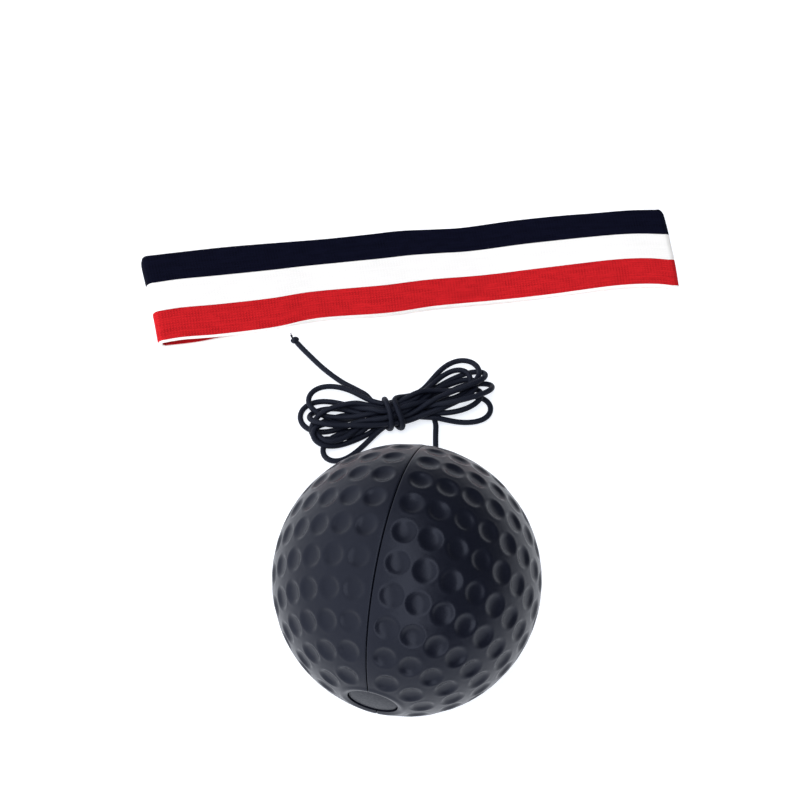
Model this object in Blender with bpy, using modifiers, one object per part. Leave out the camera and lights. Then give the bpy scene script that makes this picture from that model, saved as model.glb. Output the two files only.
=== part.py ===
"""Reflex ball headband: a three-stripe elastic head loop, a foam ball and the elastic cord between them.

The headband lies flat on the floor along X, with the ball in front of it and the spare cord wound
into a hank between the two. Metres, +Z up, floor at Z = 0. Run it with
blender --background --python part.py, or from Blender's text editor.
"""
from math import cos, pi, radians, sin, sqrt

import bmesh
import bpy
from mathutils import Matrix, Vector

NAME = "reflex_ball_headband"
GAP = 0.0003  # left between pieces that touch

# Headband: one loop of woven elastic tape, pressed flat into two plies.
BAND_LENGTH = 0.204
BAND_WIDTH = 0.038
BAND_Y = 0.079  # the tape's centre line
TAPE = 0.0016  # thickness
LOOP_HEIGHT = 0.0078  # over both plies
FOLD_STEPS = 10
STRIPES = (
    ("navy", (0.008, 0.009, 0.022)),
    ("white", (0.86, 0.86, 0.84)),
    ("red", (0.60, 0.016, 0.022)),
)
OVERLAP_LENGTH = 0.012  # where the tape's ends are sewn over each other
STITCH_DIAMETER = 0.0004
STITCH_PITCH = 0.0018
STITCH_WIDTH = 0.0026  # of a zigzag row
STITCH_ROWS = (-0.0033, 0.0033)

# Ball: two moulded foam halves round a straight cord channel.
BALL_RADIUS = 0.040
BALL_CENTRE = Vector((-0.0197, -0.0575, 0.040))
CORD_OUT = Vector((0.363, 0.930, -0.050)).normalized()  # from the ball's centre to its cord exit
PARTING_SIDE = Vector((0.933, -0.332, 0.140))  # roughly across the parting plane
BALL_STEPS = 48
CORD_DIAMETER = 0.002
CHANNEL_RADIUS = CORD_DIAMETER / 2 + GAP
RECESS_RADIUS = 0.0056  # holds the washer and the anchor knot
RECESS_TOP = -0.0255
PLUG_RADIUS = 0.0071
PLUG_THICK = 0.0022
PLUG_SUNK = 0.0003  # below the ball's surface
STEM_RADIUS = 0.0050
STEM_LENGTH = 0.0030
WASHER_RADIUS = 0.0050
WASHER_THICK = 0.0012
ANCHOR_KNOT_RADIUS = 0.0023

# Cord outside the ball: where it is not coiled, its route is a list of points.
LEAD_ROUTE = (
    (-0.0041, -0.0175, 0.0377),
    (-0.0033, -0.0155, 0.0363),
    (-0.0027, -0.0140, 0.0332),
    (-0.0023, -0.0126, 0.0286),
    (-0.0021, -0.0106, 0.0216),
    (-0.0020, -0.0078, 0.0138),
    (-0.0019, -0.0042, 0.0074),
    (-0.0018, -0.0002, 0.0033),
    (-0.0016, 0.0038, 0.0016),
    (-0.0012, 0.0074, 0.0012),
    (-0.0007, 0.0108, 0.0011),
    (-0.0002, 0.0139, 0.0014),
)
TAIL_ROUTE = (
    (-0.0240, 0.0285, 0.0030),
    (-0.0280, 0.0324, 0.0018),
    (-0.0324, 0.0362, 0.0012),
    (-0.0384, 0.0427, 0.0011),
    (-0.0442, 0.0506, 0.0011),
    (-0.0470, 0.0546, 0.0014),
)
END_KNOT_SIZE = (0.0017, 0.0014, 0.0014)  # half lengths
CORD_POINT_STEP = 0.0045
HANK_BOTTOM = 0.0003
HANK_TOP = 0.0063
HANK_ROUND = 0.0010
HANK_OUTLINE = (  # round the left loops, the waist's lower side, the right loops and back
    (-0.0190, 0.0245),
    (-0.0240, 0.0270),
    (-0.0330, 0.0328),
    (-0.0410, 0.0325),
    (-0.0460, 0.0280),
    (-0.0482, 0.0225),
    (-0.0460, 0.0150),
    (-0.0436, 0.0080),
    (-0.0390, 0.0032),
    (-0.0330, 0.0040),
    (-0.0260, 0.0098),
    (-0.0180, 0.0134),
    (-0.0120, 0.0145),
    (0.0040, 0.0140),
    (0.0130, 0.0130),
    (0.0195, 0.0153),
    (0.0212, 0.0205),
    (0.0232, 0.0270),
    (0.0212, 0.0333),
    (0.0165, 0.0368),
    (0.0115, 0.0382),
    (0.0050, 0.0355),
    (-0.0030, 0.0290),
    (-0.0110, 0.0255),
)
WAIST = Vector((-0.0153, 0.0193, 0.0))  # where the cord's end is wound round the hank
WAIST_TURN = radians(8)
WAIST_HALF_WIDTH = 0.0056
WAIST_BOTTOM = 0.0025
WRAP_STEP = 0.0024  # between the two wrap turns
GROOVE_LENGTH = 0.0054
WRAP_CORNER = 0.0016


# ---------------------------------------------------------------- tools

def clear_scene():
    for obj in list(bpy.data.objects):
        bpy.data.objects.remove(obj, do_unlink=True)


def new_collection(name):
    collection = bpy.data.collections.new(name)
    bpy.context.scene.collection.children.link(collection)
    return collection


def material(name, colour, roughness):
    mat = bpy.data.materials.new(name)
    mat.use_nodes = True
    shader = mat.node_tree.nodes["Principled BSDF"]
    shader.inputs["Base Color"].default_value = (*colour, 1.0)
    shader.inputs["Roughness"].default_value = roughness
    mat.diffuse_color = (*colour, 1.0)
    return mat


def place(obj, collection, mat):
    for old in list(obj.users_collection):
        old.objects.unlink(obj)
    collection.objects.link(obj)
    obj.data.materials.append(mat)
    return obj


def box(name, centre, size, collection, mat):
    bpy.ops.mesh.primitive_cube_add(size=1.0, location=centre)
    obj = bpy.context.object
    obj.name = name
    obj.scale = size
    bpy.ops.object.transform_apply(location=False, rotation=False, scale=True)
    return place(obj, collection, mat)


def poly_curve(name, points, collection, mat, closed=False):
    curve = bpy.data.curves.new(name, "CURVE")
    curve.dimensions = "3D"
    spline = curve.splines.new("POLY")
    spline.points.add(len(points) - 1)
    for point, co in zip(spline.points, points):
        point.co = (*co, 1.0)
    spline.use_cyclic_u = closed
    return place(bpy.data.objects.new(name, curve), collection, mat)


def tube(name, points, diameter, collection, mat, closed=False):
    obj = poly_curve(name, points, collection, mat, closed)
    obj.data.bevel_depth = diameter / 2
    obj.data.bevel_resolution = 2
    obj.data.use_fill_caps = not closed
    return obj


def turned(name, profile, collection, mat, steps=BALL_STEPS):
    """A closed or axis-to-axis profile of (radius, height) pairs, turned round local Z."""
    bm = bmesh.new()
    verts = [bm.verts.new((radius, 0.0, height)) for radius, height in profile]
    ring = verts if profile[0][0] == 0.0 else verts + verts[:1]
    for a, b in zip(ring, ring[1:]):
        bm.edges.new((a, b))
    mesh = bpy.data.meshes.new(name)
    bm.to_mesh(mesh)
    bm.free()
    obj = place(bpy.data.objects.new(name, mesh), collection, mat)
    screw = obj.modifiers.new("Turn", "SCREW")
    screw.steps = steps
    screw.render_steps = steps
    screw.use_merge_vertices = True
    screw.merge_threshold = 0.00001
    return obj


def smooth_route(points, step):
    """Points at an even step along the smooth curve through the route's own points."""
    route = [Vector(p) for p in points]
    ends = [2 * route[0] - route[1]] + route + [2 * route[-1] - route[-2]]
    fine = [route[0]]
    for a, b, c, d in zip(ends, ends[1:], ends[2:], ends[3:]):
        for k in range(1, 17):
            t = k / 16
            fine.append(0.5 * ((2 * b) + (c - a) * t + (2 * a - 5 * b + 4 * c - d) * t * t
                               + (3 * b - a - 3 * c + d) * t ** 3))
    total = sum((q - p).length for p, q in zip(fine, fine[1:]))
    count = round(total / step)
    picked, walked = [fine[0]], 0.0
    for p, q in zip(fine, fine[1:]):
        walked += (q - p).length
        if walked >= len(picked) * total / count - 1e-9:
            picked.append(q)
    return picked


def ball_frame():
    """Local Z runs to the cord exit, local X across the parting plane."""
    side = (PARTING_SIDE - PARTING_SIDE.project(CORD_OUT)).normalized()
    turn = Matrix((side, CORD_OUT.cross(side), CORD_OUT)).transposed()
    return Matrix.Translation(BALL_CENTRE) @ turn.to_4x4()


# ---------------------------------------------------------------- headband

def stripe_centre(index):
    return BAND_Y + (1 - index) * BAND_WIDTH / 3


def lower_outline():
    """The floor ply and both folds, as (x, z): outer side out, inner side back."""
    outer = LOOP_HEIGHT / 2
    inner = outer - TAPE
    turn_x = BAND_LENGTH / 2 - outer
    angles = [-pi / 2 + pi * k / FOLD_STEPS for k in range(FOLD_STEPS + 1)]
    right_out = [(turn_x + outer * cos(a), outer + outer * sin(a)) for a in angles]
    right_in = [(turn_x + inner * cos(a), outer + inner * sin(a)) for a in reversed(angles)]
    left_in = [(-x, z) for x, z in reversed(right_in)]
    left_out = [(-x, z) for x, z in reversed(right_out)]
    return right_out + right_in + left_in + left_out


def make_headband(collection, stripes):
    width = BAND_WIDTH / 3 - GAP
    upper_length = BAND_LENGTH - LOOP_HEIGHT - 2 * GAP
    for index, (colour, _) in enumerate(STRIPES):
        y = stripe_centre(index)
        lower = poly_curve(f"{colour}_stripe_lower", [(x, z, 0.0) for x, z in lower_outline()],
                           collection, stripes[colour], closed=True)
        lower.data.dimensions = "2D"
        lower.data.fill_mode = "BOTH"
        lower.data.extrude = width / 2
        lower.matrix_world = Matrix.Translation((0.0, y, 0.0)) @ Matrix.Rotation(pi / 2, 4, "X")
        box(f"{colour}_stripe_upper", (0.0, y, LOOP_HEIGHT - TAPE / 2),
            (upper_length, width, TAPE), collection, stripes[colour])


def make_seam(collection, tape_end, thread):
    overlap_z = TAPE + GAP + TAPE / 2
    box("seam_overlap", (0.0, BAND_Y, overlap_z), (OVERLAP_LENGTH, BAND_WIDTH - GAP, TAPE),
        collection, tape_end)
    stitch_z = overlap_z + TAPE / 2 + GAP + STITCH_DIAMETER / 2
    count = round((BAND_WIDTH - 0.003) / STITCH_PITCH)
    for number, x in enumerate(STITCH_ROWS, start=1):
        points = []
        for k in range(count + 1):
            side = STITCH_WIDTH / 2 if k % 2 else -STITCH_WIDTH / 2
            points.append((x + side, BAND_Y + (k - count / 2) * STITCH_PITCH, stitch_z))
        tube(f"seam_stitch_row_{number}", points, STITCH_DIAMETER, collection, thread)


# ---------------------------------------------------------------- ball

def sphere_height(radius, ball=BALL_RADIUS):
    return sqrt(ball ** 2 - radius ** 2)


def ball_profile():
    """The halves' section before they are parted: skin, plug seat, recess and cord channel."""
    seat = PLUG_RADIUS + GAP
    seat_floor = -BALL_RADIUS + PLUG_SUNK + PLUG_THICK + GAP
    start = CHANNEL_RADIUS / BALL_RADIUS
    end = pi - seat / BALL_RADIUS
    steps = BALL_STEPS // 2
    skin = []
    for k in range(steps + 1):
        angle = start + (end - start) * k / steps
        skin.append((BALL_RADIUS * sin(angle), BALL_RADIUS * cos(angle)))
    inside = [(seat, seat_floor), (RECESS_RADIUS, seat_floor), (RECESS_RADIUS, RECESS_TOP),
              (CHANNEL_RADIUS, RECESS_TOP)]
    return skin + inside


def make_ball(collection, cutters, foam, plug_mat):
    frame = ball_frame()
    for side, sign in (("left", -1), ("right", 1)):
        half = turned(f"ball_half_{side}", ball_profile(), collection, foam)
        half.matrix_world = frame
        reach = 2.4 * BALL_RADIUS
        keep = box(f"keep_{side}", (sign * (reach + GAP) / 2, 0.0, 0.0), (reach, reach, reach),
                   cutters, foam)
        keep.matrix_world = frame @ Matrix.Translation(keep.location)
        keep.hide_render = True
        keep.display_type = "WIRE"
        part = half.modifiers.new("Part", "BOOLEAN")
        part.operation = "INTERSECT"
        part.solver = "EXACT"
        part.object = keep
    make_plug(collection, plug_mat, frame)


def make_plug(collection, mat, frame):
    """The disc that closes the recess, domed like the ball's skin, with a short stem."""
    shell = BALL_RADIUS - PLUG_SUNK
    inner = -shell + PLUG_THICK
    dome = [(PLUG_RADIUS * k / 5, -sphere_height(PLUG_RADIUS * k / 5, shell)) for k in range(6)]
    stem_end = inner + STEM_LENGTH
    profile = [(0.0, stem_end), (STEM_RADIUS, stem_end), (STEM_RADIUS, inner),
               (PLUG_RADIUS, inner)] + dome[::-1]
    plug = turned("ball_plug", profile, collection, mat, steps=32)
    plug.matrix_world = frame


# ---------------------------------------------------------------- cord

def pivot_at_exit(collection):
    """The ball swings about the point where the cord leaves it."""
    pivot = bpy.data.objects.new("ball_pivot", None)
    pivot.empty_display_size = 0.01
    pivot.location = BALL_CENTRE + BALL_RADIUS * CORD_OUT
    collection.objects.link(pivot)
    bpy.context.view_layer.update()
    return pivot


def hang_on(obj, pivot, world):
    obj.parent = pivot
    obj.matrix_parent_inverse = pivot.matrix_world.inverted()
    obj.matrix_world = world


def make_anchor(collection, cord, washer_mat):
    """The cord's inner end: through the channel and the washer to a knot in the recess."""
    pivot = pivot_at_exit(collection)
    frame = ball_frame()
    washer_low = RECESS_TOP - GAP - WASHER_THICK
    washer_high = RECESS_TOP - GAP
    washer = turned("anchor_washer", [(WASHER_RADIUS, washer_high), (WASHER_RADIUS, washer_low),
                                      (CHANNEL_RADIUS, washer_low), (CHANNEL_RADIUS, washer_high)],
                    collection, washer_mat, steps=24)
    hang_on(washer, pivot, frame)
    knot_z = washer_low - GAP - ANCHOR_KNOT_RADIUS
    knot = lump("anchor_knot", (ANCHOR_KNOT_RADIUS,) * 3, collection, cord)
    hang_on(knot, pivot, frame @ Matrix.Translation((0.0, 0.0, knot_z)))
    start = washer_low
    count = round((BALL_RADIUS - start) / CORD_POINT_STEP)
    points = [(0.0, 0.0, start + (BALL_RADIUS - start) * k / count) for k in range(count + 1)]
    inside = tube("cord_in_ball", points, CORD_DIAMETER, collection, cord)
    hang_on(inside, pivot, frame)


def lump(name, half_lengths, collection, mat):
    """A knot's outer shape."""
    bpy.ops.mesh.primitive_uv_sphere_add(segments=16, ring_count=10, radius=1.0)
    obj = bpy.context.object
    obj.name = name
    obj.scale = half_lengths
    bpy.ops.object.transform_apply(location=False, rotation=False, scale=True)
    return place(obj, collection, mat)


def make_lead(collection, cord):
    start = BALL_CENTRE + (BALL_RADIUS + GAP) * CORD_OUT
    points = smooth_route((start,) + LEAD_ROUTE, CORD_POINT_STEP)
    tube("cord_lead", points, CORD_DIAMETER, collection, cord)


def make_tail(collection, cord):
    tube("cord_tail", smooth_route(TAIL_ROUTE, CORD_POINT_STEP), CORD_DIAMETER, collection, cord)
    knot = lump("cord_end_knot", END_KNOT_SIZE, collection, cord)
    last, before = Vector(TAIL_ROUTE[-1]), Vector(TAIL_ROUTE[-2])
    along = (last - before).normalized()
    knot.rotation_euler = along.to_track_quat("X", "Z").to_euler()
    knot.location = last + along * (END_KNOT_SIZE[0] + GAP)


def waist_frame():
    return Matrix.Translation(WAIST) @ Matrix.Rotation(WAIST_TURN, 4, "Z")


def make_hank(collection, cutters, cord):
    """The outer shape of the wound cord, grooved under its waist for the wrap turns."""
    curve = bpy.data.curves.new("cord_hank", "CURVE")
    curve.dimensions = "2D"
    curve.fill_mode = "BOTH"
    curve.resolution_u = 4
    curve.extrude = (HANK_TOP - HANK_BOTTOM) / 2 - HANK_ROUND
    curve.bevel_depth = HANK_ROUND
    curve.bevel_resolution = 1
    curve.offset = -HANK_ROUND
    spline = curve.splines.new("BEZIER")
    spline.bezier_points.add(len(HANK_OUTLINE) - 1)
    spline.use_cyclic_u = True
    for point, (x, y) in zip(spline.bezier_points, HANK_OUTLINE):
        point.co = (x, y, 0.0)
        point.handle_left_type = "AUTO"
        point.handle_right_type = "AUTO"
    outline = place(bpy.data.objects.new("hank_outline", curve), collection, cord)
    outline.location.z = (HANK_TOP + HANK_BOTTOM) / 2
    bpy.context.view_layer.update()
    evaluated = outline.evaluated_get(bpy.context.evaluated_depsgraph_get())
    mesh = bpy.data.meshes.new_from_object(evaluated)
    bm = bmesh.new()
    bm.from_mesh(mesh)
    bmesh.ops.remove_doubles(bm, verts=bm.verts, dist=0.00001)
    bm.to_mesh(mesh)
    bm.free()
    hank = bpy.data.objects.new("cord_hank", mesh)
    collection.objects.link(hank)
    hank.matrix_world = outline.matrix_world
    bpy.data.objects.remove(outline, do_unlink=True)
    depth = 2 * WAIST_BOTTOM
    groove = box("waist_groove", (0.0, 0.0, 0.0), (GROOVE_LENGTH, 0.04, depth), cutters, cord)
    groove.matrix_world = waist_frame()
    groove.hide_render = True
    groove.display_type = "WIRE"
    cut = hank.modifiers.new("Groove", "BOOLEAN")
    cut.operation = "DIFFERENCE"
    cut.solver = "EXACT"
    cut.object = groove


def make_wraps(collection, cord):
    """Two turns of the cord round the hank's waist, each a rounded ring."""
    reach = GAP + CORD_DIAMETER / 2
    half_width = WAIST_HALF_WIDTH + reach
    low = WAIST_BOTTOM - reach
    high = HANK_TOP + reach
    for number, sign in ((1, -1), (2, 1)):
        points = []
        for quarter, (y, z) in enumerate(((half_width, high), (-half_width, high),
                                          (-half_width, low), (half_width, low))):
            centre_y = y - WRAP_CORNER * (1 if y > 0 else -1)
            centre_z = z - WRAP_CORNER * (1 if z > low else -1)
            for k in range(6):
                angle = pi / 2 * (quarter + k / 5)
                points.append((0.0, centre_y + WRAP_CORNER * cos(angle),
                               centre_z + WRAP_CORNER * sin(angle)))
        ring = tube(f"cord_wrap_turn_{number}", points, CORD_DIAMETER, collection, cord, closed=True)
        ring.matrix_world = waist_frame() @ Matrix.Translation((sign * WRAP_STEP / 2, 0.0, 0.0))


# ---------------------------------------------------------------- build

def main():
    clear_scene()
    collection = new_collection(NAME)
    cutters = new_collection("cutters")
    stripes = {name: material(f"{name}_tape", colour, 0.85) for name, colour in STRIPES}
    cord = material("braided_cord", (0.012, 0.013, 0.022), 0.7)
    make_headband(collection, stripes)
    make_seam(collection, material("tape_end", (0.80, 0.80, 0.78), 0.85),
              material("thread", (0.85, 0.85, 0.83), 0.6))
    make_ball(collection, cutters, material("ball_foam", (0.022, 0.023, 0.032), 0.42),
              material("plug_rubber", (0.05, 0.052, 0.06), 0.5))
    make_anchor(collection, cord, material("washer_plastic", (0.55, 0.55, 0.53), 0.4))
    make_lead(collection, cord)
    make_tail(collection, cord)
    make_hank(collection, cutters, cord)
    make_wraps(collection, cord)
    cutters.hide_render = True
    bpy.context.view_layer.update()


main()
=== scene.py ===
"""Looks of a reflex ball headband: a flattened loop of striped elastic tape, a dimpled black ball,
and a thin braided cord between them, wound up in a hank.

Lengths are in metres unless a name says mm. X runs along the flattened headband, Y from the ball
towards the headband, Z up.
"""

from math import atan2, cos, pi, radians, sin, sqrt

import bmesh
import bpy
import numpy as np
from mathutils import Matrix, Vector


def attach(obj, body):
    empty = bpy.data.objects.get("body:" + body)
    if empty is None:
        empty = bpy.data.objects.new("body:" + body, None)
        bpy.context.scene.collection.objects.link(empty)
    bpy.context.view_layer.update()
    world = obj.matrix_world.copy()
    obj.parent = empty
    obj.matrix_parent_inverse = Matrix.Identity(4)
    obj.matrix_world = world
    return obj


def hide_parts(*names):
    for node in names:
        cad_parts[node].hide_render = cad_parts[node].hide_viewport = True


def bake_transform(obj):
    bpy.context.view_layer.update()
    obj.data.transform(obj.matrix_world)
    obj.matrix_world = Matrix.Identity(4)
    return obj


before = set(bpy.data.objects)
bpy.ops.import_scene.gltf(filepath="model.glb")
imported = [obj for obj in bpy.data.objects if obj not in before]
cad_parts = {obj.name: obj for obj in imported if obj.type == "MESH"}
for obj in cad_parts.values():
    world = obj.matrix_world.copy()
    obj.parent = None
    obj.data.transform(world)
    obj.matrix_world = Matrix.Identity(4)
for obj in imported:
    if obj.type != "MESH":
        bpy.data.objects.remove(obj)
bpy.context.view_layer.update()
SCENE = bpy.context.scene
MM = 0.001
rng = np.random.default_rng(12)  # draws the frayed threads of the cord's end

# ---------------- sizes

# Camera
LOOK_AT = Vector((-0.0117, 0.0265, 0.0))
CAMERA_AZIMUTH = radians(-6.8)
CAMERA_ELEVATION = radians(60.0)
CAMERA_DISTANCE = 0.42
CAMERA_FIELD = 2 * atan2(8.0, 23.0)

# Light
WORLD_LEFT, WORLD_RIGHT = 1.62, 0.12  # strength of the light from either side
WORLD_FADE = (-0.60, 0.28)  # the X parts of the directions between which it fades
WORLD_TINT = (0.945, 0.972, 1.045, 1.0)
KEY_PLACE = (-0.03, -0.45, 0.90)
KEY_TARGET = (-0.02, -0.02, 0.02)
KEY_WIDTH, KEY_HEIGHT = 0.42, 2.4
KEY_RADIANCE = 2.7
KEY_TINT = (0.955, 0.975, 1.04)
FLOOR_HALF = 3.0
FLOOR_DROP = 0.0002  # below everything that lies on it
FLOOR_GLOW = 0.74

# Cord, the same route as the CAD cord's free stretches
CORD_DIAMETER = 0.002
CORD_SIDES = 14
CORD_STEP = 0.0006  # between the finished cord's rings
LEAD_ROUTE = (
    (-0.0041, -0.0175, 0.0377), (-0.0033, -0.0155, 0.0363), (-0.0027, -0.0140, 0.0332),
    (-0.0023, -0.0126, 0.0286), (-0.0021, -0.0106, 0.0216), (-0.0020, -0.0078, 0.0138),
    (-0.0019, -0.0042, 0.0074), (-0.0018, -0.0002, 0.0033), (-0.0016, 0.0038, 0.0016),
    (-0.0012, 0.0074, 0.0012), (-0.0007, 0.0108, 0.0011), (-0.0002, 0.0139, 0.0014),
)
TAIL_ROUTE = (
    (-0.0240, 0.0285, 0.0030), (-0.0280, 0.0324, 0.0018), (-0.0324, 0.0362, 0.0012),
    (-0.0384, 0.0427, 0.0011), (-0.0442, 0.0506, 0.0011), (-0.0470, 0.0546, 0.0014),
)

# Weave of the tape
RIB_PITCH = 0.00105
PICK_PITCH = 0.0011  # of the short stitches that cross the ribs
PICK_LEAN = 0.9

# Braid of the cord
BRAID_STRANDS = 8.0  # round the cord, each way
BRAID_PITCH = 0.0011  # along the cord

# Ball
BALL_RADIUS = 0.040
BALL_CENTRE = Vector((-0.0197, -0.0575, 0.040))
CORD_OUT = Vector((0.363, 0.930, -0.050)).normalized()
PARTING_SIDE = Vector((0.933, -0.332, 0.140))  # towards the right half
EXIT = BALL_CENTRE + (BALL_RADIUS + 0.0003) * CORD_OUT


# ---------------- curves and tubes

def unit(v):
    v = np.asarray(v, float)
    return v / np.linalg.norm(v)


def smooth_curve(points, steps):
    """A Catmull-Rom curve through the points."""
    p = np.array(points, float)
    p = np.vstack([2 * p[0] - p[1], p, 2 * p[-1] - p[-2]])
    out = [p[1]]
    for a, b, c, d in zip(p, p[1:], p[2:], p[3:]):
        for k in range(1, steps + 1):
            t = k / steps
            out.append(0.5 * (2 * b + (c - a) * t + (2 * a - 5 * b + 4 * c - d) * t * t
                              + (3 * b - a - 3 * c + d) * t ** 3))
    return np.array(out)


def lengths(points):
    """Distance along the polyline at each of its points."""
    return np.r_[0, np.cumsum(np.linalg.norm(np.diff(points, axis=0), axis=1))]


def evenly(points, step):
    """The polyline's points again, about one step apart."""
    along = lengths(points)
    at = np.linspace(0, along[-1], int(round(along[-1] / step)) + 1)
    return np.stack([np.interp(at, along, points[:, k]) for k in range(3)], axis=1)


def carried(tangents):
    """A unit vector across each tangent, turning as little as it can from one to the next."""
    side = unit(np.cross(tangents[0], (0.3, 0.2, 1.0)))
    sides = []
    for t in tangents:
        side = unit(side - t * (side @ t))
        sides.append(side)
    return np.array(sides)


def ring_points(path, tangents, across, angles, radius):
    """Points round a path. angles has a row for each place on it, or one row for them all."""
    up = np.cross(tangents, across)
    out = (across[:, None] * np.cos(angles)[:, :, None]
           + up[:, None] * np.sin(angles)[:, :, None])
    radius = np.broadcast_to(np.asarray(radius, float), (len(path),))
    return (path[:, None] + out * radius[:, None, None]).reshape(-1, 3)


def new_object(name, vertices, faces, material, uvs=None, smooth=True):
    mesh = bpy.data.meshes.new(name)
    mesh.from_pydata([tuple(v) for v in vertices], [], [tuple(f) for f in faces])
    if uvs is not None:
        layer = mesh.uv_layers.new(name="UVMap")
        layer.data.foreach_set("uv", np.asarray(uvs, np.float32).ravel())
    mesh.polygons.foreach_set("use_smooth", [smooth] * len(mesh.polygons))
    for m in material if isinstance(material, (list, tuple)) else [material]:
        mesh.materials.append(m)
    mesh.update()
    obj = bpy.data.objects.new(name, mesh)
    SCENE.collection.objects.link(obj)
    return obj


def face_outward(piece, limit=None):
    """Turns every face outward. With a limit, edges of more degrees than that are kept sharp."""
    mesh = piece.data
    bm = bmesh.new()
    bm.from_mesh(mesh)
    bmesh.ops.recalc_face_normals(bm, faces=bm.faces)
    if limit is not None:
        for edge in bm.edges:
            edge.smooth = len(edge.link_faces) == 2 and edge.calc_face_angle(0) < radians(limit)
    bm.to_mesh(mesh)
    bm.free()


def net(rows, columns, round_rows=False, round_columns=True):
    """Faces between neighbours in a grid of points that are listed row after row."""
    faces = []
    for i in range(rows if round_rows else rows - 1):
        a, b = i * columns, (i + 1) % rows * columns
        for j in range(columns if round_columns else columns - 1):
            j2 = (j + 1) % columns
            faces.append((a + j, b + j, b + j2, a + j2))
    return faces


def wall(along, v, closed=False):
    """Faces and UVs of a tube's wall.

    along is the distance, U, at each ring of its points; in a closed tube the first ring counts
    again at the end. v holds the two V of each side of a ring.
    """
    sides = len(v)
    rings = len(along) - 1 if closed else len(along)
    faces, uvs = [], []
    for i in range(len(along) - 1):
        a, b = i * sides, (i + 1) % rings * sides
        for k, (v0, v1) in enumerate(v):
            k2 = (k + 1) % sides
            faces.append((a + k, a + k2, b + k2, b + k))
            uvs += [(along[i], v0), (along[i], v1), (along[i + 1], v1), (along[i + 1], v0)]
    return faces, uvs


def one_turn(sides):
    """The two V of each side of a round tube, on which V is one turn."""
    return [(k / sides, (k + 1) / sides) for k in range(sides)]


def tube_parts(path, radius, sides):
    """Vertices, faces and UVs of a tube with capped ends."""
    path = np.asarray(path, float)
    tangents = np.gradient(path, axis=0)
    tangents /= np.linalg.norm(tangents, axis=1)[:, None]
    turns = np.arange(sides)[None, :] * 2 * pi / sides
    vertices = ring_points(path, tangents, carried(tangents), turns, radius)
    along = lengths(path)
    faces, uvs = wall(along, one_turn(sides))
    last = (len(path) - 1) * sides
    for cap, u in ((range(sides - 1, -1, -1), 0.0), (range(last, last + sides), along[-1])):
        faces.append(tuple(cap))
        uvs += [(u, k / sides) for k in range(sides)]
    return vertices, faces, uvs


def tube(name, path, radius, sides, material):
    vertices, faces, uvs = tube_parts(path, radius, sides)
    return new_object(name, vertices, faces, material, uvs)


def joined(name, parts, material):
    """One object from several (vertices, faces, uvs)."""
    vertices, faces, uvs = [], [], []
    for v, f, t in parts:
        start = len(vertices)
        vertices += [tuple(p) for p in v]
        faces += [tuple(start + i for i in face) for face in f]
        uvs += list(t)
    return new_object(name, vertices, faces, material, uvs)


# ---------------- materials

class Shader:
    """The nodes of one material or world. Its methods add a node and give back a socket."""

    def __init__(self, name, world=False):
        self.owner = (bpy.data.worlds if world else bpy.data.materials).new(name)
        self.owner.use_nodes = True
        self.tree = self.owner.node_tree
        self.tree.nodes.clear()

    def node(self, kind, inputs, output=0, **settings):
        made = self.tree.nodes.new("ShaderNode" + kind)
        for key, value in settings.items():
            setattr(made, key, value)
        for key, value in inputs.items():
            if isinstance(value, bpy.types.NodeSocket):
                self.tree.links.new(value, made.inputs[key])
            else:
                made.inputs[key].default_value = value
        return made.outputs[output] if made.outputs else None

    def math(self, operation, a, b=0.0, c=0.0):
        return self.node("Math", {0: a, 1: b, 2: c}, operation=operation)

    def add(self, a, b):
        return self.math("ADD", a, b)

    def times(self, a, b):
        return self.math("MULTIPLY", a, b)

    def split(self, point):
        first = self.node("SeparateXYZ", {0: point})
        return first.node.outputs[0], first.node.outputs[1]

    def uv(self):
        return self.split(self.node("UVMap", {}))

    def uv_point(self, u_scale, v_scale):
        u, v = self.uv()
        return self.node("CombineXYZ", {0: self.times(u, u_scale), 1: self.times(v, v_scale)})

    def noise(self, point, scale, detail=3.0, roughness=0.55):
        return self.node("TexNoise", {"Vector": point, "Scale": scale, "Detail": detail,
                                      "Roughness": roughness})

    def place(self):
        return self.node("TexCoord", {}, "Object")

    def ramp(self, value, *stops):
        colour = self.node("ValToRGB", {0: value})
        ramp = colour.node.color_ramp
        while len(ramp.elements) < len(stops):
            ramp.elements.new(0.5)
        for element, (at, stop) in zip(ramp.elements, stops):
            element.position = at
            element.color = (*stop, 1.0)
        return colour

    def span(self, value, low, high, to_low, to_high):
        return self.node("MapRange", {"Value": value, "From Min": low, "From Max": high,
                                      "To Min": to_low, "To Max": to_high})

    def bump(self, height, strength, distance, after=None):
        inputs = {"Height": height, "Strength": strength, "Distance": distance}
        if after is not None:
            inputs["Normal"] = after
        return self.node("Bump", inputs)

    def finish(self, colour, roughness, normal, **sockets):
        inputs = {"Base Color": colour, "Roughness": roughness, "Normal": normal}
        inputs.update({key.replace("_", " "): value for key, value in sockets.items()})
        self.node("OutputMaterial", {0: self.node("BsdfPrincipled", inputs)})
        return self.owner


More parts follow.
